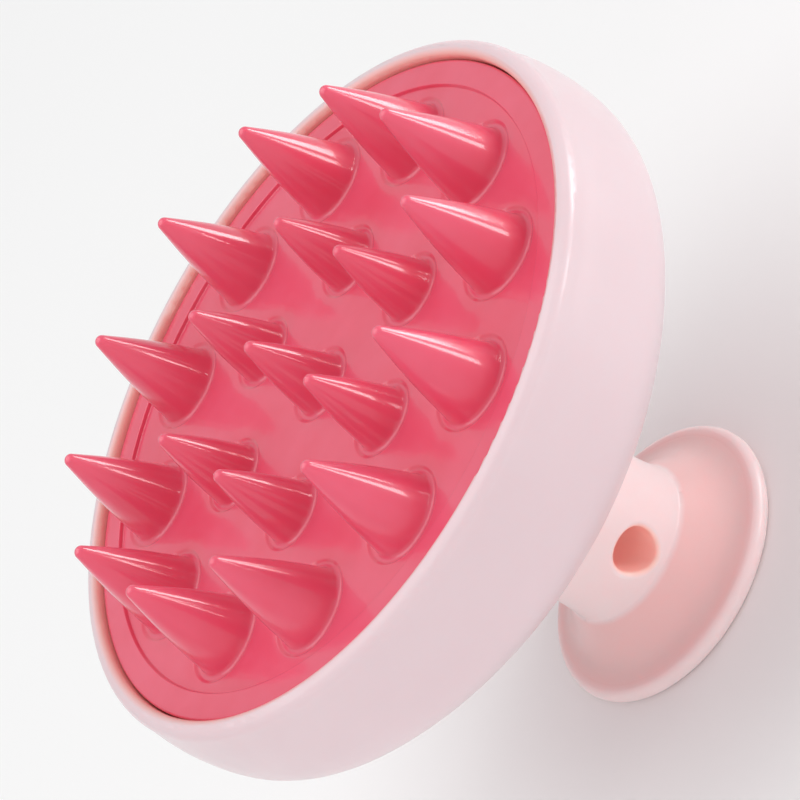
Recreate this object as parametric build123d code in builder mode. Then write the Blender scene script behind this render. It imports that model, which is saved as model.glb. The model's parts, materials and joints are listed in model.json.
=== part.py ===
"""Scalp massager brush: a bowl-shaped shell on a spool handle, with a pull-out silicone bristle head.

Millimetres. The brush stands on the flat end of its handle: origin at the centre of that flat
end, +Z up along the axis of symmetry, bristles pointing up. The hanging hole runs along Y.
The bristle pattern is symmetrical about both the XZ and YZ planes.
"""

import os
from math import atan2, cos, sin

from build123d import *

# Overall heights above the flat end of the handle.
TIP_Z = 66.0  # tips of the outer bristles
LIP_Z = 54.3  # top of the shell's rim
BACK_Z = 29.4  # lowest point of the shell, where the handle is screwed on

# Shell.
LIP_R = 42.5
LIP_OUTER_ROUND = 1.5
BULGE_R = 43.2  # widest part
BULGE_Z = 46.5
BELLY_R = 40.6  # two points that the bowl's outside passes on its way down to the seat
BELLY_Z = 38.6
UNDERSIDE_R = 31.5
UNDERSIDE_Z = 32.0
INSIDE_R = 30.7  # a point that the inside of the bowl passes
INSIDE_Z = 34.3
BORE_R = 40.2
LIP_INNER_ROUND = LIP_R - LIP_OUTER_ROUND - BORE_R
WALL = 2.4
SEAT_R = 13.2  # flat round seat for the handle
BOSS_R = 10.5
BOSS_H = 2.0
BOSS_Z = BACK_Z + WALL + BOSS_H
FLOOR_R = BOSS_R + 3.0  # flat floor inside the bowl
SHELF_Z = 42.3  # ledge that the bristle head is pushed down onto
SHELF_R = 37.2
SHELF_H = 2.2

# Bristle head.
HEAD_GAP = 0.3
PAD_R = BORE_R - HEAD_GAP
PAD_Z = LIP_Z - 1.5
PAD_T = 2.2
BORDER_W = 3.3  # raised band round the edge of the pad
BORDER_H = 0.5
SKIRT_T = 1.8
SKIRT_Z = 44.9
BEAD_T = 1.6
BEAD_W = 2.3
FIT = 0.05  # clearance between parts of one assembly
CARRIER_EDGE_FILLET = 0.5
CARRIER_HUB_R = 3.0
RIB_COUNT = 6
RIB_T = 1.6
CARRIER_R = PAD_R - SKIRT_T - FIT
CARRIER_TOP = PAD_Z - PAD_T - FIT
CARRIER_BOTTOM = SKIRT_Z + BEAD_T + FIT
RING_INNER_R = 29.5
RING_BOTTOM = SHELF_Z + HEAD_GAP
RING_TOP = SKIRT_Z - FIT
RING_LAND_R = CARRIER_R - BEAD_W - FIT
SEAL_MAJOR_R = 39.0
SEAL_MINOR_R = 0.8
SEAL_Z = (RING_BOTTOM + RING_TOP) / 2

# Bristles: one outer ring, one middle ring, one in the centre.
OUTER_RING_R = 30.0
OUTER_COUNT = 12
MIDDLE_RING_R = 15.8
MIDDLE_COUNT = 6
PATTERN_TURN = 15.0  # outer ring's first bristle from +X, degrees
MIDDLE_TURN = PATTERN_TURN + 15.0
OUTER_BASE_R = 4.9
INNER_BASE_R = 3.9
INNER_TIP_DROP = 2.7
TIP_R = 0.8
SIDE_BULGE = 0.25  # how far the sides stand out from a straight cone
ROOT_FLARE = 0.45
ROOT_SINK = 0.4  # how far the cone reaches into the pad

# Handle.
DISC_R = 17.6
DISC_EDGE_T = 2.2
DISC_EDGE_ROUND = 0.9
FLARE_R = 15.9  # where the disc's top starts to rise towards the stem
FLARE_Z = 2.3
FOOT_R = 9.9  # crease where the flare meets the stem
FOOT_Z = 7.4
FOOT_FILLET = 0.4
WAIST_R = 9.0
WAIST_Z = 15.0
NECK_R = 12.0
HOLE_R = 2.75
HOLE_Z = 11.3
HOLE_TUBE_R = 4.3
HOLE_RIM_FILLET = 0.6
CORE_R = 6.2
CORE_TOP = 18.4
CAP_R = 14.6
CAP_T = 1.5
PLUG_H = 2.6
PLUG_WALL = 1.6

# Screws: shank radius, pilot hole in the plastic they bite into, clearance hole in the part they hold.
HANDLE_SCREW_PCD_R = 6.0
HANDLE_SCREW_COUNT = 3
HANDLE_SCREW_R = 1.4
HANDLE_PILOT_R = 1.45
HANDLE_CLEARANCE_R = 1.7
HANDLE_HEAD_R = 2.6
HANDLE_HEAD_H = 1.8
HANDLE_SCREW_BITE = 8.0
CLAMP_SCREW_PCD_R = 32.6
CLAMP_SCREW_COUNT = 6
CLAMP_SCREW_R = 1.15
CLAMP_PILOT_R = 1.2
CLAMP_CLEARANCE_R = 1.4
CLAMP_HEAD_R = 2.1
CLAMP_HEAD_H = 1.3
CLAMP_SCREW_BITE = 2.8
PILOT_SPARE = 0.4  # pilot holes are this much deeper than the screws reach


def screw(shank_r, shank_length, head_r, head_height):
    """Cross-head screw along Z, underside of the head at z = 0, shank pointing up."""
    with BuildPart() as made:
        with BuildSketch(Plane.XY.offset(-head_height)):
            Circle(head_r)
        extrude(amount=head_height)
        fillet(made.edges().group_by(Axis.Z)[0], head_height * 0.45)
        with BuildSketch():
            Circle(shank_r)
        extrude(amount=shank_length)
        chamfer(made.edges().group_by(Axis.Z)[-1], shank_r * 0.4)
        with BuildSketch(Plane.XY.offset(-head_height)):
            Rectangle(head_r * 1.1, head_r * 0.3)
            Rectangle(head_r * 0.3, head_r * 1.1)
        extrude(amount=head_height * 0.5, mode=Mode.SUBTRACT)
    return made.part


def bristle(base_r, height):
    """Tapered silicone bristle along Z with a rounded tip and a flared root, base at z = 0."""
    tip_angle = atan2(base_r - TIP_R, height)
    tip_side = (TIP_R * cos(tip_angle), height - TIP_R + TIP_R * sin(tip_angle))
    root_side = (base_r - ROOT_FLARE, ROOT_FLARE * 1.5)
    middle = ((tip_side[0] + root_side[0]) / 2 + SIDE_BULGE, (tip_side[1] + root_side[1]) / 2)
    with BuildPart() as made:
        with BuildSketch(Plane.XZ):
            with BuildLine():
                Polyline((0, height), (0, -ROOT_SINK), (base_r, -ROOT_SINK), (base_r, 0))
                Line((base_r, 0), root_side)
                ThreePointArc(root_side, middle, tip_side)
                ThreePointArc(tip_side, (TIP_R * 0.6, height - TIP_R * 0.2), (0, height))
            make_face()
        revolve(axis=Axis.Z)
    return made.part


def handle_screw_spots():
    """Screws that hold the handle to the shell."""
    return PolarLocations(HANDLE_SCREW_PCD_R, HANDLE_SCREW_COUNT, start_angle=90)


def clamp_screw_spots():
    """Screws that hold the clamp ring to the carrier plate."""
    return PolarLocations(CLAMP_SCREW_PCD_R, CLAMP_SCREW_COUNT, start_angle=30)


def save(part, name):
    """Label a finished piece and write it to its own STEP file."""
    part.label = name
    export_step(part, f"parts/{name}.step")


os.makedirs("parts", exist_ok=True)

# Shell: a deep bowl with a flat seat under it and a ledge round the inside.
with BuildPart() as shell_cup:
    with BuildSketch(Plane.XZ):
        with BuildLine():
            Line((0, BACK_Z), (SEAT_R, BACK_Z))
            Spline(
                (SEAT_R, BACK_Z),
                (UNDERSIDE_R, UNDERSIDE_Z),
                (BELLY_R, BELLY_Z),
                (BULGE_R, BULGE_Z),
                tangents=[(1, 0.02), (0, 1)],
            )
            Bezier(
                (BULGE_R, BULGE_Z),
                (BULGE_R, (BULGE_Z + LIP_Z) / 2),
                (LIP_R, LIP_Z - 2 * LIP_OUTER_ROUND),
                (LIP_R, LIP_Z - LIP_OUTER_ROUND),
            )
            TangentArc(
                (LIP_R, LIP_Z - LIP_OUTER_ROUND),
                (LIP_R - LIP_OUTER_ROUND, LIP_Z),
                tangent=(0, 1),
            )
            TangentArc(
                (LIP_R - LIP_OUTER_ROUND, LIP_Z),
                (BORE_R, LIP_Z - LIP_INNER_ROUND),
                tangent=(-1, 0),
            )
            Polyline(
                (BORE_R, LIP_Z - LIP_INNER_ROUND),
                (BORE_R, SHELF_Z),
                (SHELF_R, SHELF_Z),
                (SHELF_R, SHELF_Z - SHELF_H),
            )
            Spline(
                (SHELF_R, SHELF_Z - SHELF_H),
                (INSIDE_R, INSIDE_Z),
                (FLOOR_R, BACK_Z + WALL),
                tangents=[(-0.3, -1), (-1, 0)],
            )
            Polyline((FLOOR_R, BACK_Z + WALL), (0, BACK_Z + WALL), (0, BACK_Z))
        make_face()
    revolve(axis=Axis.Z)
    with BuildSketch(Plane.XY.offset(BACK_Z + WALL)):
        Circle(BOSS_R)
    extrude(amount=BOSS_H)
    with BuildSketch(Plane.XY.offset(BACK_Z)):
        with handle_screw_spots():
            Circle(HANDLE_CLEARANCE_R)
    extrude(amount=WALL + BOSS_H, mode=Mode.SUBTRACT)
save(shell_cup.part, "shell_cup")

# Silicone bristle head: pad, skirt, inward bead and nineteen bristles in one moulding.
outer_bristle = bristle(OUTER_BASE_R, TIP_Z - PAD_Z)
inner_bristle = bristle(INNER_BASE_R, TIP_Z - PAD_Z - INNER_TIP_DROP)
with BuildPart() as silicone_pad:
    with BuildSketch(Plane.XY.offset(PAD_Z - PAD_T)):
        Circle(PAD_R)
    extrude(amount=PAD_T)
    with BuildSketch(Plane.XY.offset(PAD_Z)):
        Circle(PAD_R)
        Circle(PAD_R - BORDER_W, mode=Mode.SUBTRACT)
    extrude(amount=BORDER_H)
    fillet(silicone_pad.edges().group_by(Axis.Z)[-1], BORDER_H * 0.9)
    with BuildSketch(Plane.XY.offset(SKIRT_Z)):
        Circle(PAD_R)
        Circle(PAD_R - SKIRT_T, mode=Mode.SUBTRACT)
    extrude(amount=PAD_Z - PAD_T - SKIRT_Z)
    with BuildSketch(Plane.XY.offset(SKIRT_Z)):
        Circle(PAD_R - SKIRT_T)
        Circle(PAD_R - SKIRT_T - BEAD_W, mode=Mode.SUBTRACT)
    extrude(amount=BEAD_T)
    with Locations((0, 0, PAD_Z)):
        with PolarLocations(OUTER_RING_R, OUTER_COUNT, start_angle=PATTERN_TURN):
            add(outer_bristle)
        with PolarLocations(MIDDLE_RING_R, MIDDLE_COUNT, start_angle=MIDDLE_TURN):
            add(inner_bristle)
        add(inner_bristle)
save(silicone_pad.part, "silicone_pad")

# Stiff carrier plate that keeps the pad flat, ribbed underneath.
with BuildPart() as carrier_plate:
    with BuildSketch(Plane.XY.offset(CARRIER_BOTTOM)):
        Circle(CARRIER_R)
    extrude(amount=CARRIER_TOP - CARRIER_BOTTOM)
    fillet(carrier_plate.edges().group_by(Axis.Z)[-1], CARRIER_EDGE_FILLET)
    with BuildSketch(Plane.XY.offset(CARRIER_BOTTOM)):
        Circle(RING_INNER_R - 1)
        Circle(CARRIER_HUB_R, mode=Mode.SUBTRACT)
        with PolarLocations(RING_INNER_R / 2, RIB_COUNT):
            Rectangle(RING_INNER_R, RIB_T, mode=Mode.SUBTRACT)
    extrude(amount=(CARRIER_TOP - CARRIER_BOTTOM) / 2, mode=Mode.SUBTRACT)
    with BuildSketch(Plane.XY.offset(CARRIER_BOTTOM)):
        with clamp_screw_spots():
            Circle(CLAMP_PILOT_R)
    extrude(amount=CLAMP_SCREW_BITE + PILOT_SPARE, mode=Mode.SUBTRACT)
save(carrier_plate.part, "carrier_plate")

# Ring screwed up against the carrier plate: it pinches the pad's bead and holds the seal.
with BuildPart() as clamp_ring:
    with BuildSketch(Plane.XY.offset(RING_BOTTOM)):
        Circle(SEAL_MAJOR_R)
        Circle(RING_INNER_R, mode=Mode.SUBTRACT)
    extrude(amount=RING_TOP - RING_BOTTOM)
    with BuildSketch(Plane.XY.offset(RING_TOP)):
        Circle(RING_LAND_R)
        Circle(RING_INNER_R, mode=Mode.SUBTRACT)
    extrude(amount=CARRIER_BOTTOM - FIT - RING_TOP)
    with BuildSketch(Plane.XZ):
        with Locations((SEAL_MAJOR_R, SEAL_Z)):
            Circle(SEAL_MINOR_R + FIT)
    revolve(axis=Axis.Z, mode=Mode.SUBTRACT)
    with BuildSketch(Plane.XY.offset(RING_BOTTOM)):
        with clamp_screw_spots():
            Circle(CLAMP_CLEARANCE_R)
    extrude(amount=CARRIER_BOTTOM - RING_BOTTOM, mode=Mode.SUBTRACT)
save(clamp_ring.part, "clamp_ring")

# Round rubber ring that grips the bore and keeps water out of the shell.
with BuildPart() as head_seal_ring:
    with BuildSketch(Plane.XZ):
        with Locations((SEAL_MAJOR_R, SEAL_Z)):
            Circle(SEAL_MINOR_R)
    revolve(axis=Axis.Z)
save(head_seal_ring.part, "head_seal_ring")

clamp_length = CARRIER_BOTTOM + CLAMP_SCREW_BITE - RING_BOTTOM
clamp_screw = screw(CLAMP_SCREW_R, clamp_length, CLAMP_HEAD_R, CLAMP_HEAD_H)
with BuildPart() as clamp_screws:
    with Locations((0, 0, RING_BOTTOM)):
        with clamp_screw_spots():
            add(clamp_screw)
save(clamp_screws.part, "clamp_screws")

# Handle: spool-shaped stem and disc in one moulding, hollow, with a tube for the hanging hole.
with BuildPart() as handle_body:
    with BuildSketch(Plane.XZ):
        with BuildLine():
            Polyline((0, BACK_Z), (0, 0), (DISC_R - DISC_EDGE_ROUND, 0))
            ThreePointArc(
                (DISC_R - DISC_EDGE_ROUND, 0),
                (DISC_R, DISC_EDGE_T / 2),
                (DISC_R - DISC_EDGE_ROUND, DISC_EDGE_T),
            )
            Line((DISC_R - DISC_EDGE_ROUND, DISC_EDGE_T), (FLARE_R, FLARE_Z))
            Bezier(
                (FLARE_R, FLARE_Z),
                (FLARE_R - 2.7, FLARE_Z + 0.4),
                (FOOT_R + 2.0, FOOT_Z - 2.5),
                (FOOT_R, FOOT_Z),
            )
            Bezier(
                (FOOT_R, FOOT_Z),
                (WAIST_R + 0.3, FOOT_Z + 3.6),
                (WAIST_R, WAIST_Z + 5.0),
                (NECK_R, BACK_Z),
            )
            Line((NECK_R, BACK_Z), (0, BACK_Z))
        make_face()
    revolve(axis=Axis.Z)
    circles = handle_body.edges().filter_by(GeomType.CIRCLE)
    crease = circles.filter_by(lambda edge: abs(edge.radius - FOOT_R) < FIT)
    fillet(crease, FOOT_FILLET)
    with BuildSketch():
        Circle(CORE_R)
    extrude(amount=CORE_TOP, mode=Mode.SUBTRACT)
    with BuildSketch():
        Circle(CAP_R + FIT)
    extrude(amount=CAP_T + FIT, mode=Mode.SUBTRACT)
    with BuildSketch(Plane.XZ.offset(-CORE_R - 1)):
        with Locations((0, HOLE_Z)):
            Circle(HOLE_TUBE_R)
    extrude(amount=2 * CORE_R + 2)
    with BuildSketch(Plane.XZ.offset(-DISC_R)):
        with Locations((0, HOLE_Z)):
            Circle(HOLE_R)
    extrude(amount=2 * DISC_R, mode=Mode.SUBTRACT)
    rims = handle_body.edges().filter_by_position(Axis.Z, HOLE_Z - HOLE_R, HOLE_Z + HOLE_R)
    outer_rims = rims.filter_by(lambda rim: abs(rim.center().Y) > WAIST_R * 0.9)
    fillet(outer_rims, HOLE_RIM_FILLET)
    with BuildSketch(Plane.XY.offset(BACK_Z)):
        with handle_screw_spots():
            Circle(HANDLE_PILOT_R)
    extrude(amount=-(HANDLE_SCREW_BITE + PILOT_SPARE), mode=Mode.SUBTRACT)
save(handle_body.part, "handle_body")

# Cap that closes the hollow handle; its outer face is the flat end the brush stands on.
with BuildPart() as handle_end_cap:
    with BuildSketch():
        Circle(CAP_R)
    extrude(amount=CAP_T)
    with BuildSketch(Plane.XY.offset(CAP_T)):
        Circle(CORE_R - FIT)
        Circle(CORE_R - PLUG_WALL, mode=Mode.SUBTRACT)
    extrude(amount=PLUG_H)
save(handle_end_cap.part, "handle_end_cap")

handle_length = WALL + BOSS_H + HANDLE_SCREW_BITE
handle_screw = screw(HANDLE_SCREW_R, handle_length, HANDLE_HEAD_R, HANDLE_HEAD_H)
heads_up = Location((0, 0, BOSS_Z), (0, 180, 0))
with BuildPart() as handle_screws:
    with Locations(heads_up):
        with handle_screw_spots():
            add(handle_screw)
save(handle_screws.part, "handle_screws")
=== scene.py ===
"""Looks of the scalp massager brush: soft silicone head, milky pink shell and handle, studio light."""

import json
from math import atan2, cos, hypot, pi, radians, sin, sqrt, tan

import bmesh
import bpy
from mathutils import Matrix, Vector
from mathutils.geometry import delaunay_2d_cdt


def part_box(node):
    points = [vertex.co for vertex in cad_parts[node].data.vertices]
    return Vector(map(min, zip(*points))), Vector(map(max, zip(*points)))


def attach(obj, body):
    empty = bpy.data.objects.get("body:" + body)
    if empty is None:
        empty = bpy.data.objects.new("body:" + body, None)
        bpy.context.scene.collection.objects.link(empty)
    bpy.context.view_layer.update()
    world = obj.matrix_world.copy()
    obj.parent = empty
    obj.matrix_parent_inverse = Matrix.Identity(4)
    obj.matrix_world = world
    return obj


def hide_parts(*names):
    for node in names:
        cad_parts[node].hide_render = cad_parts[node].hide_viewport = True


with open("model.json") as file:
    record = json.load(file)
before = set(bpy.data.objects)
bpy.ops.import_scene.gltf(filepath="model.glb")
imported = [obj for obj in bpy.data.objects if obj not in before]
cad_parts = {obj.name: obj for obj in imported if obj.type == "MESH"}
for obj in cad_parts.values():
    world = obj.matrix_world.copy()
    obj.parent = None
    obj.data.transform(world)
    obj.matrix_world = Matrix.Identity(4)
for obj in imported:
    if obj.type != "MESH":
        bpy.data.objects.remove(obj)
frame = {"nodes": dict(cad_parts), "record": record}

MM = 0.001  # lengths are in metres
bpy.context.view_layer.update()
pad_low, pad_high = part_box("silicone_pad")
shell_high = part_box("shell_cup")[1]
handle_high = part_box("handle_body")[1]

# Shell and handle features that the materials and the pad follow.
hole_mount = next(mount for mount in frame["record"]["mounts"] if mount["name"] == "hanging_hole")
HOLE_Z = hole_mount["pos_m"][2]
HOLE_R = hole_mount["dims"]["r_mm"] * MM
DISC_R = handle_high.x
FOOT_Z = 7.4 * MM  # crease where the disc's flare meets the stem
BORE_GAP = 0.3 * MM  # between the CAD pad and the shell's bore
BORE_R = pad_high.x + BORE_GAP

# Silicone pad. Its outer sizes are the CAD pad's, but for the radius.
PAD_R = pad_high.x + BORE_GAP / 2  # the soft pad closes half of the gap
PAD_DEPTH = 1.5 * MM  # the pad's face lies this far below the shell's lip
PAD_Z = shell_high.z - PAD_DEPTH
PAD_T = 2.2 * MM
TIP_Z = pad_high.z
BORDER_W = 3.3 * MM
BORDER_H = 0.5 * MM
BORDER_LEAN = 0.15 * MM  # how far the side of the raised border leans
BORDER_LEAD = 0.5 * MM  # flat strip between the gridded face and the border
BORDER_ROUND = 0.2 * MM
RIM_ROUND = 0.45 * MM
SKIRT_Z = pad_low.z
SKIRT_T = 1.8 * MM
SKIRT_ROUND = 0.3 * MM
BEAD_W = 2.3 * MM
BEAD_T = 1.6 * MM
BEAD_ROUND = 0.15 * MM
UNDER_R = 1.0 * MM  # last ring before the middle of the pad's underside

# Bristles: ring radius, count, first angle, base radius, how far the tip is below the highest.
BRISTLE_RINGS = [
    (30.0 * MM, 12, 15.0, 4.75 * MM, 0.0),
    (15.8 * MM, 6, 30.0, 3.75 * MM, 2.7 * MM),
    (0.0, 1, 0.0, 3.75 * MM, 2.7 * MM),
]
BRISTLE_TIP_R = 0.8 * MM
BRISTLE_ROOT_R = 0.45 * MM
BRISTLE_BULGE = 0.2 * MM
GROOVE_W = 0.55 * MM
GROOVE_DEPTH = 0.25 * MM

# Mesh density.
PAD_SEGMENTS = 256
BRISTLE_SEGMENTS = 64
SIDE_STEPS = 26
GROOVE_STEPS = 6
CURVE_STEPS = 6
TIP_STEPS = 7
GRID = 1.5 * MM
GRID_SPARE = GRID / 2  # grid points stay this far inside the face's edges
TOUCHING = 0.01 * MM  # slack for triangles along a groove's edge
MERGE_DISTANCE = 1e-9
SHARP_ANGLE = 40.0


def rounded(start, corner, end):
    """Points of a smooth curve from start to end that is drawn towards the corner."""
    points = []
    for k in range(CURVE_STEPS + 1):
        t = k / CURVE_STEPS
        points.append(start * (1 - t) ** 2 + corner * 2 * t * (1 - t) + end * t**2)
    return points


def fillet_outline(corners):
    """Outline through corners (r, z, radius), with each corner rounded to its radius."""
    points = []
    for i, (r, z, radius) in enumerate(corners):
        corner = Vector((r, z))
        if radius == 0:
            points.append(corner)
            continue
        back = (Vector(corners[i - 1][:2]) - corner).normalized()
        ahead = (Vector(corners[i + 1][:2]) - corner).normalized()
        reach = radius / tan(back.angle(ahead) / 2)
        points += rounded(corner + back * reach, corner, corner + ahead * reach)
    return points


def bristle_profile(base_r, height):
    """(r, z) from the pad's surface, down a shallow groove and up the bristle's side to its tip."""
    lean = atan2(base_r - BRISTLE_TIP_R, height - BRISTLE_TIP_R)
    tip_centre_z = height - BRISTLE_TIP_R

    def tip_point(angle):
        return Vector((BRISTLE_TIP_R * cos(angle), tip_centre_z + BRISTLE_TIP_R * sin(angle)))

    foot = Vector((base_r, -GROOVE_DEPTH))
    side_top = tip_point(lean)
    root_out = foot + Vector((BRISTLE_ROOT_R, 0))
    root_up = foot + (side_top - foot).normalized() * BRISTLE_ROOT_R
    profile = []
    for k in range(GROOVE_STEPS):
        t = k / GROOVE_STEPS
        dip = -GROOVE_DEPTH * (1 - cos(pi * t)) / 2
        profile.append(Vector((root_out.x + GROOVE_W * (1 - t), dip)))
    profile += rounded(root_out, foot, root_up)
    for k in range(1, SIDE_STEPS + 1):
        t = k / SIDE_STEPS
        profile.append(root_up.lerp(side_top, t) + Vector((BRISTLE_BULGE * sin(pi * t), 0)))
    for k in range(1, TIP_STEPS):
        profile.append(tip_point(lean + (pi / 2 - lean) * k / TIP_STEPS))
    return profile


def bristle_spots():
    """(x, y, height, profile) of every bristle."""
    spots = []
    for ring_r, count, first, base_r, drop in BRISTLE_RINGS:
        height = TIP_Z - PAD_Z - drop
        profile = bristle_profile(base_r, height)
        for k in range(count):
            angle = radians(first + 360 * k / count)
            spots.append((ring_r * cos(angle), ring_r * sin(angle), height, profile))
    return spots


def pad_outline(face_r):
    """(r, z) from the face's edge over the raised border, down the skirt, round the bead and inwards."""
    border_r = PAD_R - BORDER_W
    border_z = PAD_Z + BORDER_H
    skirt_r = PAD_R - SKIRT_T
    bead_z = SKIRT_Z + BEAD_T
    under_z = PAD_Z - PAD_T
    return fillet_outline(
        [
            (face_r, PAD_Z, 0),
            (border_r, PAD_Z, BORDER_ROUND),
            (border_r + BORDER_LEAN, border_z, BORDER_ROUND),
            (PAD_R, border_z, RIM_ROUND),
            (PAD_R, SKIRT_Z, SKIRT_ROUND),
            (skirt_r - BEAD_W, SKIRT_Z, SKIRT_ROUND),
            (skirt_r - BEAD_W, bead_z, SKIRT_ROUND),
            (skirt_r, bead_z, BEAD_ROUND),
            (skirt_r, under_z, SKIRT_ROUND),
            (UNDER_R, under_z, 0),
        ]
    )


def ring_points(radius, segments, centre=(0.0, 0.0)):
    """Points of a circle in the XY plane."""
    turn = 2 * pi / segments
    return [
        (centre[0] + radius * cos(turn * k), centre[1] + radius * sin(turn * k))
        for k in range(segments)
    ]


def neighbours(loop):
    """Each item of a closed loop with the one after it."""
    return list(zip(loop, loop[1:] + loop[:1]))


def sweep(bm, loop, profile, centre=(0.0, 0.0), base_z=0.0):
    """Quads from a loop of vertices through the profile's (r, z) points; returns the last loop."""
    for r, z in profile:
        circle = ring_points(r, len(loop), centre)
        upper = [bm.verts.new((x, y, base_z + z)) for x, y in circle]
        for (left, right), (top_left, top_right) in zip(neighbours(loop), neighbours(upper)):
            bm.faces.new((left, right, top_right, top_left))
        loop = upper
    return loop


def cap_to_point(bm, loop, point):
    """Triangles from a closed loop to one vertex."""
    top = bm.verts.new(point)
    for left, right in neighbours(loop):
        bm.faces.new((left, right, top))


def make_object(name, bm):
    """Mesh object from bm, shaded smooth but for its sharp edges."""
    bmesh.ops.recalc_face_normals(bm, faces=bm.faces)
    mesh = bpy.data.meshes.new(name)
    bm.to_mesh(mesh)
    bm.free()
    mesh.shade_smooth()
    mesh.set_sharp_from_angle(angle=radians(SHARP_ANGLE))
    obj = bpy.data.objects.new(name, mesh)
    bpy.context.scene.collection.objects.link(obj)
    return obj


def clear_of_bristles(spots, x, y, spare):
    """Whether a point of the pad's face is outside every bristle's groove by the spare distance."""
    return all(
        hypot(x - spot_x, y - spot_y) > profile[0].x + spare
        for spot_x, spot_y, height, profile in spots
    )


def grid_points(spots, face_r):
    """Points of a triangular grid on the pad's face, between the bristles."""
    points = []
    rows = int(face_r / GRID) + 1
    for row in range(-rows, rows + 1):
        for column in range(-rows, rows + 1):
            x = (column + 0.5 * (row % 2)) * GRID
            y = row * GRID * sqrt(0.75)
            if hypot(x, y) < face_r - GRID_SPARE and clear_of_bristles(spots, x, y, GRID_SPARE):
                points.append((x, y))
    return points


def build_face(bm, spots, face_r):
    """Flat face with a hole at each bristle; returns its outer loop of vertices, then the holes' loops."""
    flat = ring_points(face_r, PAD_SEGMENTS)
    loops = [list(range(PAD_SEGMENTS))]
    for x, y, height, profile in spots:
        loops.append(list(range(len(flat), len(flat) + BRISTLE_SEGMENTS)))
        flat += ring_points(profile[0].x, BRISTLE_SEGMENTS, (x, y))
    edges = [edge for loop in loops for edge in neighbours(loop)]
    flat += grid_points(spots, face_r)
    found = delaunay_2d_cdt([Vector(point) for point in flat], edges, [], 0, MERGE_DISTANCE)
    places, triangles = found[0], found[2]
    assert len(places) == len(flat)  # none merged, so the loops' numbers still hold
    verts = [bm.verts.new((place.x, place.y, PAD_Z)) for place in places]
    for triangle in triangles:
        middle = sum((places[i] for i in triangle), Vector((0, 0))) / 3
        if clear_of_bristles(spots, middle.x, middle.y, -TOUCHING):
            bm.faces.new([verts[i] for i in triangle])
    return [[verts[i] for i in loop] for loop in loops]


def build_pad():
    """The whole silicone moulding as one closed mesh."""
    bm = bmesh.new()
    spots = bristle_spots()
    face_r = PAD_R - BORDER_W - BORDER_LEAD
    edge, *roots = build_face(bm, spots, face_r)
    for root, (x, y, height, profile) in zip(roots, spots):
        tip = sweep(bm, root, profile[1:], (x, y), PAD_Z)
        cap_to_point(bm, tip, (x, y, PAD_Z + height))
    outline = pad_outline(face_r)
    inmost = sweep(bm, edge, outline[1:])
    cap_to_point(bm, inmost, (0, 0, outline[-1].y))
    return make_object("silicone_pad_moulding", bm)


class Nodes:
    """Small helper round one material's node tree."""

    def __init__(self, name):
        self.material = bpy.data.materials.new(name)
        self.material.use_nodes = True
        self.tree = self.material.node_tree
        self.shader = self.tree.nodes["Principled BSDF"]
        coordinates = self.tree.nodes.new("ShaderNodeTexCoord")
        self.place = coordinates.outputs["Object"]

    def feed(self, socket, value):
        """Link another node's output to a socket, or set a plain value."""
        if isinstance(value, bpy.types.NodeSocket):
            self.tree.links.new(value, socket)
        else:
            socket.default_value = value

    def add(self, kind, **inputs):
        """New node with its inputs fed by name."""
        node = self.tree.nodes.new(kind)
        for key, value in inputs.items():
            self.feed(node.inputs[key.replace("_", " ")], value)
        return node

    def set(self, **inputs):
        """Feed the shader's inputs by name."""
        for key, value in inputs.items():
            self.feed(self.shader.inputs[key.replace("_", " ")], value)

    def math(self, operation, *values):
        """Result of one sum."""
        node = self.tree.nodes.new("ShaderNodeMath")
        node.operation = operation
        for socket, value in zip(node.inputs, values):
            self.feed(socket, value)
        return node.outputs[0]

    def noise(self, scale, detail, roughness):
        """Noise whose values are mostly in NOISE_RANGE; scale is in cells per metre."""
        node = self.add(
            "ShaderNodeTexNoise", Vector=self.place, Scale=scale, Detail=detail, Roughness=roughness
        )
        return node.outputs["Fac"]

    def remap(self, value, source, target):
        """Value carried from one (low, high) range to another and held inside it."""
        node = self.add("ShaderNodeMapRange", Value=value)
        for key, number in zip(("From Min", "From Max", "To Min", "To Max"), (*source, *target)):
            self.feed(node.inputs[key], number)
        return node.outputs["Result"]

    def mix(self, factor, first, second):
        """Colour between two; a Mix node's colours are its sockets 6 and 7."""
        node = self.tree.nodes.new("ShaderNodeMix")
        node.data_type = "RGBA"
        self.feed(node.inputs[0], factor)
        self.feed(node.inputs[6], first)
        self.feed(node.inputs[7], second)
        return node.outputs[2]

    def axis(self, letter):
        """One coordinate of the surface point, in the brush's frame."""
        node = self.add("ShaderNodeSeparateXYZ", Vector=self.place)
        return node.outputs[letter]

    def length(self, first, second):
        """Length of a flat vector."""
        squares = [self.math("MULTIPLY", value, value) for value in (first, second)]
        return self.math("SQRT", self.math("ADD", *squares))

    def radius(self):
        """Distance from the brush's axis."""
        return self.length(self.axis("X"), self.axis("Y"))

    def hole_distance(self):
        """Distance from the hanging hole's axis."""
        return self.length(self.axis("X"), self.math("SUBTRACT", self.axis("Z"), HOLE_Z))

    def bumps(self, *layers):
        """Stack of bumps, each (height field, depth in metres, strength)."""
        normal = None
        for field, depth, strength in layers:
            node = self.add("ShaderNodeBump", Height=field, Distance=depth, Strength=strength)
            if normal is not None:
                self.feed(node.inputs["Normal"], normal)
            normal = node.outputs["Normal"]
        self.set(Normal=normal)


# Where noise values mostly lie, and the whole range of a mask.
NOISE_RANGE = (0.3, 0.7)
WHOLE = (0.0, 1.0)


def rgb(red, green, blue):
    """Linear colour with alpha from a 0-255 sRGB one."""
    linear = []
    for value in (red, green, blue):
        share = value / 255
        linear.append(share / 12.92 if share <= 0.04045 else ((share + 0.055) / 1.055) ** 2.4)
    return (*linear, 1.0)


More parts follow.
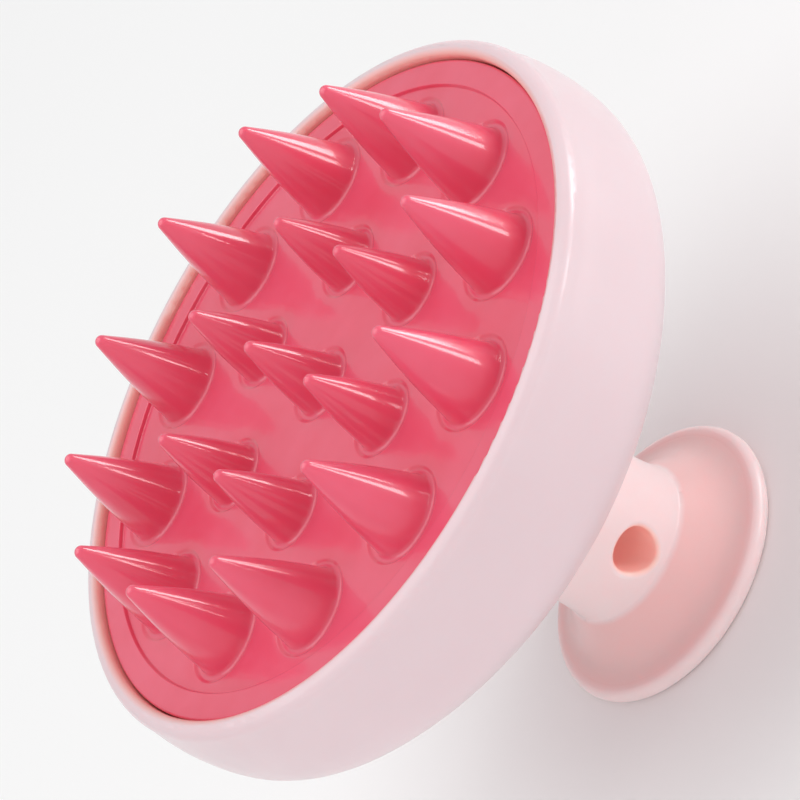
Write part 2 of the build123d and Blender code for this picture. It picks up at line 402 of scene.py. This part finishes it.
def silicone_material():
    """Coral silicone, wet-looking: soft inside glow under a smooth gloss, and a painted glow that lightens
    the bristles towards their tips.
    """
    coral = rgb(230, 74, 103)
    light_coral = rgb(235, 87, 116)
    tip_glow_coral = rgb(242, 106, 133)
    nodes = Nodes("coral_silicone")
    blotch = nodes.remap(nodes.noise(70.0, 3.0, 0.6), (0.35, 0.65), WHOLE)
    body = nodes.mix(blotch, coral, light_coral)
    # Painted glow: the bristles grow lighter towards their tips, standing in for light shining through the
    # thin silicone.
    towards_tip_glow = nodes.remap(nodes.axis("Z"), (PAD_Z + 3 * MM, TIP_Z), (0.0, 0.35))
    film = nodes.noise(160.0, 3.0, 0.55)
    nodes.set(Base_Color=nodes.mix(towards_tip_glow, body, tip_glow_coral))
    nodes.set(Roughness=nodes.remap(film, NOISE_RANGE, (0.3, 0.4)))
    nodes.set(Subsurface_Weight=0.2, Subsurface_Radius=(1.0, 0.25, 0.28), Subsurface_Scale=1.6 * MM)
    nodes.set(IOR=1.43, Coat_Weight=1.0, Coat_Roughness=0.1, Coat_IOR=1.5)
    nodes.bumps(
        (nodes.noise(140.0, 1.0, 0.4), 0.1 * MM, 0.3),
        (nodes.noise(1500.0, 2.0, 0.5), 0.008 * MM, 0.3),
    )
    return nodes.material


def plastic_material(name, light, deep, scatter, milkiness, painted_light):
    """Milky pale pink plastic; the last argument makes (mask, colour) pairs of painted light and shade
    that are laid over the base.
    """
    nodes = Nodes(name)
    cloud = nodes.remap(nodes.noise(38.0, 3.0, 0.55), NOISE_RANGE, WHOLE)
    colour = nodes.mix(cloud, light, deep)
    # Painted light and shade laid over the plastic's own cloudy colour.
    for mask, shade in painted_light(nodes):
        colour = nodes.mix(mask, colour, shade)
    gloss = nodes.noise(300.0, 3.0, 0.6)
    nodes.set(Base_Color=colour, Roughness=nodes.remap(gloss, NOISE_RANGE, (0.3, 0.4)))
    nodes.set(Subsurface_Weight=milkiness, Subsurface_Radius=scatter, Subsurface_Scale=3.0 * MM)
    nodes.set(IOR=1.49, Coat_Weight=0.25, Coat_Roughness=0.12)
    nodes.bumps(
        (nodes.noise(60.0, 1.0, 0.4), 0.1 * MM, 0.1),
        (nodes.noise(900.0, 1.0, 0.4), 0.004 * MM, 0.15),
    )
    return nodes.material


def shell_painted_glow(nodes):
    """Painted glow: peach on the thin inner edge of the lip, standing in for the coral pad's light that
    shines through the milky plastic and bounces onto it.
    """
    glow_peach = rgb(250, 176, 160)
    # Mask of the painted glow: next to the bore, only high up by the lip.
    inside = nodes.remap(nodes.radius(), (BORE_R + 0.1 * MM, BORE_R + 0.9 * MM), (0.75, 0.0))
    near_lip = nodes.remap(nodes.axis("Z"), (PAD_Z - 4 * MM, PAD_Z - 2 * MM), WHOLE)
    return [(nodes.math("MULTIPLY", inside, near_lip), glow_peach)]


def handle_painted_shade_and_glow(nodes):
    """Painted shade: deeper pink on the disc below the crease, where the shell above shades it, fading out
    near the rim; and painted glow of peach and faint emitted light inside the hanging hole.
    """
    shaded_pink = rgb(250, 196, 194)
    glow_peach = rgb(255, 214, 204)
    hole_glow = 0.1
    # Painted shade on the disc's face below the crease; the edge mask below fades it out near the disc's
    # rim.
    disc = nodes.remap(nodes.axis("Z"), (FOOT_Z - 0.6 * MM, FOOT_Z - 0.1 * MM), (0.85, 0.0))
    edge = nodes.remap(nodes.radius(), (DISC_R - 1.6 * MM, DISC_R - 0.4 * MM), (1.0, 0.15))
    # Painted glow inside the hanging hole: peach colour and a faint emitted glow stand in for light
    # carried through the milky plastic.
    inside = nodes.remap(nodes.hole_distance(), (HOLE_R + 0.1 * MM, HOLE_R + 0.5 * MM), (1.0, 0.0))
    # Colour of the hole's painted glow, emitted though the plastic is no lamp.
    nodes.set(Emission_Color=rgb(250, 130, 130))
    nodes.set(Emission_Strength=nodes.math("MULTIPLY", inside, hole_glow))
    return [(nodes.math("MULTIPLY", disc, edge), shaded_pink), (inside, glow_peach)]


def inner_plastic_material():
    """Natural white plastic of the hidden carrier plate and ring."""
    nodes = Nodes("natural_white_plastic")
    cloud = nodes.noise(55.0, 3.0, 0.6)
    grain = nodes.noise(600.0, 3.0, 0.6)
    nodes.set(Base_Color=nodes.mix(cloud, rgb(236, 234, 228), rgb(224, 221, 214)))
    nodes.set(Roughness=nodes.remap(grain, NOISE_RANGE, (0.38, 0.52)))
    nodes.set(Subsurface_Weight=0.2, Subsurface_Radius=(1.0, 0.9, 0.8), Subsurface_Scale=2.0 * MM)
    nodes.bumps((nodes.noise(3800.0, 2.0, 0.5), 0.012 * MM, 0.6))
    return nodes.material


def rubber_material():
    """Dark grey rubber of the seal ring."""
    nodes = Nodes("seal_rubber")
    cloud = nodes.noise(300.0, 4.0, 0.7)
    nodes.set(Base_Color=nodes.mix(cloud, rgb(44, 44, 47), rgb(66, 66, 69)))
    nodes.set(Roughness=nodes.remap(cloud, NOISE_RANGE, (0.5, 0.68)))
    nodes.bumps((nodes.noise(4200.0, 3.0, 0.6), 0.02 * MM, 0.6))
    return nodes.material


def steel_material():
    """Stainless screws with a fine grain."""
    nodes = Nodes("stainless_steel")
    grain = nodes.noise(5200.0, 2.0, 0.5)
    wear = nodes.noise(900.0, 3.0, 0.6)
    nodes.set(Base_Color=nodes.mix(grain, rgb(196, 197, 200), rgb(168, 169, 172)), Metallic=1.0)
    nodes.set(Roughness=nodes.remap(wear, NOISE_RANGE, (0.3, 0.42)))
    nodes.bumps((grain, 0.01 * MM, 0.5))
    return nodes.material


def floor_material():
    """Pale matt studio floor."""
    nodes = Nodes("studio_floor")
    cloud = nodes.noise(3.0, 2.0, 0.5)
    nodes.set(Base_Color=nodes.mix(cloud, rgb(247, 247, 247), rgb(244, 244, 244)))
    nodes.set(Roughness=0.6, Specular_IOR_Level=0.2)
    return nodes.material


def dress(material, *names):
    """Give CAD nodes their material."""
    for name in names:
        mesh = frame["nodes"][name].data
        mesh.materials.clear()
        mesh.materials.append(material)


# Materials on the CAD nodes; the shell and the handle carry painted glow and painted shade.
shell_plastic = plastic_material(
    "milky_pink_shell", rgb(229, 206, 211), rgb(226, 201, 206), (1.0, 0.5, 0.5), 0.3, shell_painted_glow
)
handle_plastic = plastic_material(
    "milky_pink_handle", rgb(253, 225, 225), rgb(251, 219, 220), (1.0, 0.45, 0.45), 0.6, handle_painted_shade_and_glow
)
dress(shell_plastic, "shell_cup")
dress(handle_plastic, "handle_body", "handle_end_cap")
dress(inner_plastic_material(), "carrier_plate", "clamp_ring")
dress(steel_material(), "clamp_screws", "handle_screws")
dress(rubber_material(), "head_seal_ring")

# Silicone head.
pad = build_pad()
pad.data.materials.append(silicone_material())
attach(pad, "bristle_head")
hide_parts("silicone_pad")

# Camera: the photo's view, rolled so that the bristles point left.
AIM = Vector((2.6, 0.0, 42.8)) * MM
CAMERA_AZIMUTH = -89.78
CAMERA_ELEVATION = 29.72
CAMERA_ROLL = 62.1
CAMERA_DISTANCE = 391.4 * MM
CAMERA_LENS = 156.7
SENSOR_WIDTH = 36.0
CLIP_START = 10 * MM
UPWARDS = Vector((0, 0, 1))


def view_axes():
    """Right, up and backward directions of the camera."""
    azimuth, elevation, roll = map(radians, (CAMERA_AZIMUTH, CAMERA_ELEVATION, CAMERA_ROLL))
    sideways = Vector((cos(azimuth), sin(azimuth), 0))
    back = sideways * cos(elevation) + UPWARDS * sin(elevation)
    level = UPWARDS.cross(back).normalized()
    up = back.cross(level) * cos(roll) + level * sin(roll)
    return up.cross(back), up, back


def oriented(right, up, back, place):
    """World matrix of a camera or lamp that looks along -back."""
    turn = Matrix((right, up, back)).transposed()
    return Matrix.Translation(place) @ turn.to_4x4()


def softbox(name, direction, distance, width, height, share, in_reflections):
    """Rectangular soft lamp aimed at the brush; share is how much of white it adds to a facing surface."""
    lamp = bpy.data.lights.new(name, "AREA")
    lamp.shape = "RECTANGLE"
    lamp.size = width
    lamp.size_y = height
    lamp.energy = share * pi**2 * distance**2
    back = Vector(direction).normalized()
    side = UPWARDS.cross(back).normalized()
    obj = bpy.data.objects.new(name, lamp)
    obj.matrix_world = oriented(side, back.cross(side), back, AIM + back * distance)
    obj.visible_glossy = in_reflections
    obj.visible_camera = False
    bpy.context.scene.collection.objects.link(obj)


RIGHT, UP, BACK = view_axes()
camera_data = bpy.data.cameras.new("camera")
camera_data.lens = CAMERA_LENS
camera_data.sensor_width = SENSOR_WIDTH
camera_data.clip_start = CLIP_START
camera = bpy.data.objects.new("camera", camera_data)
camera.matrix_world = oriented(RIGHT, UP, BACK, AIM + BACK * CAMERA_DISTANCE)
bpy.context.scene.collection.objects.link(camera)
bpy.context.scene.camera = camera

# Lamps: name, direction from the brush, distance, width, height, share of white, seen in reflections.
SOFTBOXES = [
    ("top_softbox", (-0.1, 0.2, 1.0), 0.9, 1.1, 1.1, 0.62, True),
    ("front_softbox", (-0.1, -1.0, 0.2), 0.9, 0.8, 0.5, 0.14, False),
    ("side_softbox", (-0.8, -0.8, 0.3), 0.9, 0.8, 0.5, 0.14, False),
    ("streak_strip_right", (1.0, -0.05, 0.05), 0.6, 0.22, 0.14, 0.26, True),
    ("streak_strip_left", (0.85, -0.52, 0.05), 0.6, 0.12, 0.14, 0.13, True),
]
for row in SOFTBOXES:
    softbox(*row)

# World: soft ambient light, with a near-white backdrop behind the floor's edge.
AMBIENT = 0.56
BACKDROP = 0.94
world = bpy.data.worlds.new("studio")
world.use_nodes = True
world_nodes = world.node_tree.nodes
background = world_nodes["Background"]
light_path = world_nodes.new("ShaderNodeLightPath")
level = world_nodes.new("ShaderNodeMapRange")
level.inputs["To Min"].default_value = AMBIENT
level.inputs["To Max"].default_value = BACKDROP
background.inputs["Color"].default_value = rgb(252, 252, 252)
world.node_tree.links.new(light_path.outputs["Is Camera Ray"], level.inputs["Value"])
world.node_tree.links.new(level.outputs["Result"], background.inputs["Strength"])
bpy.context.scene.world = world
bpy.context.scene.view_settings.view_transform = "Standard"

# Floor just under the flat end of the handle.
FLOOR_SIZE = 6.0
FLOOR_CELLS = 4
FLOOR_DROP = 0.05 * MM
floor_bm = bmesh.new()
bmesh.ops.create_grid(floor_bm, x_segments=FLOOR_CELLS, y_segments=FLOOR_CELLS, size=FLOOR_SIZE / 2)
floor = make_object("floor", floor_bm)
floor.location.z = -FLOOR_DROP
floor.data.materials.append(floor_material())

bpy.context.view_layer.update()
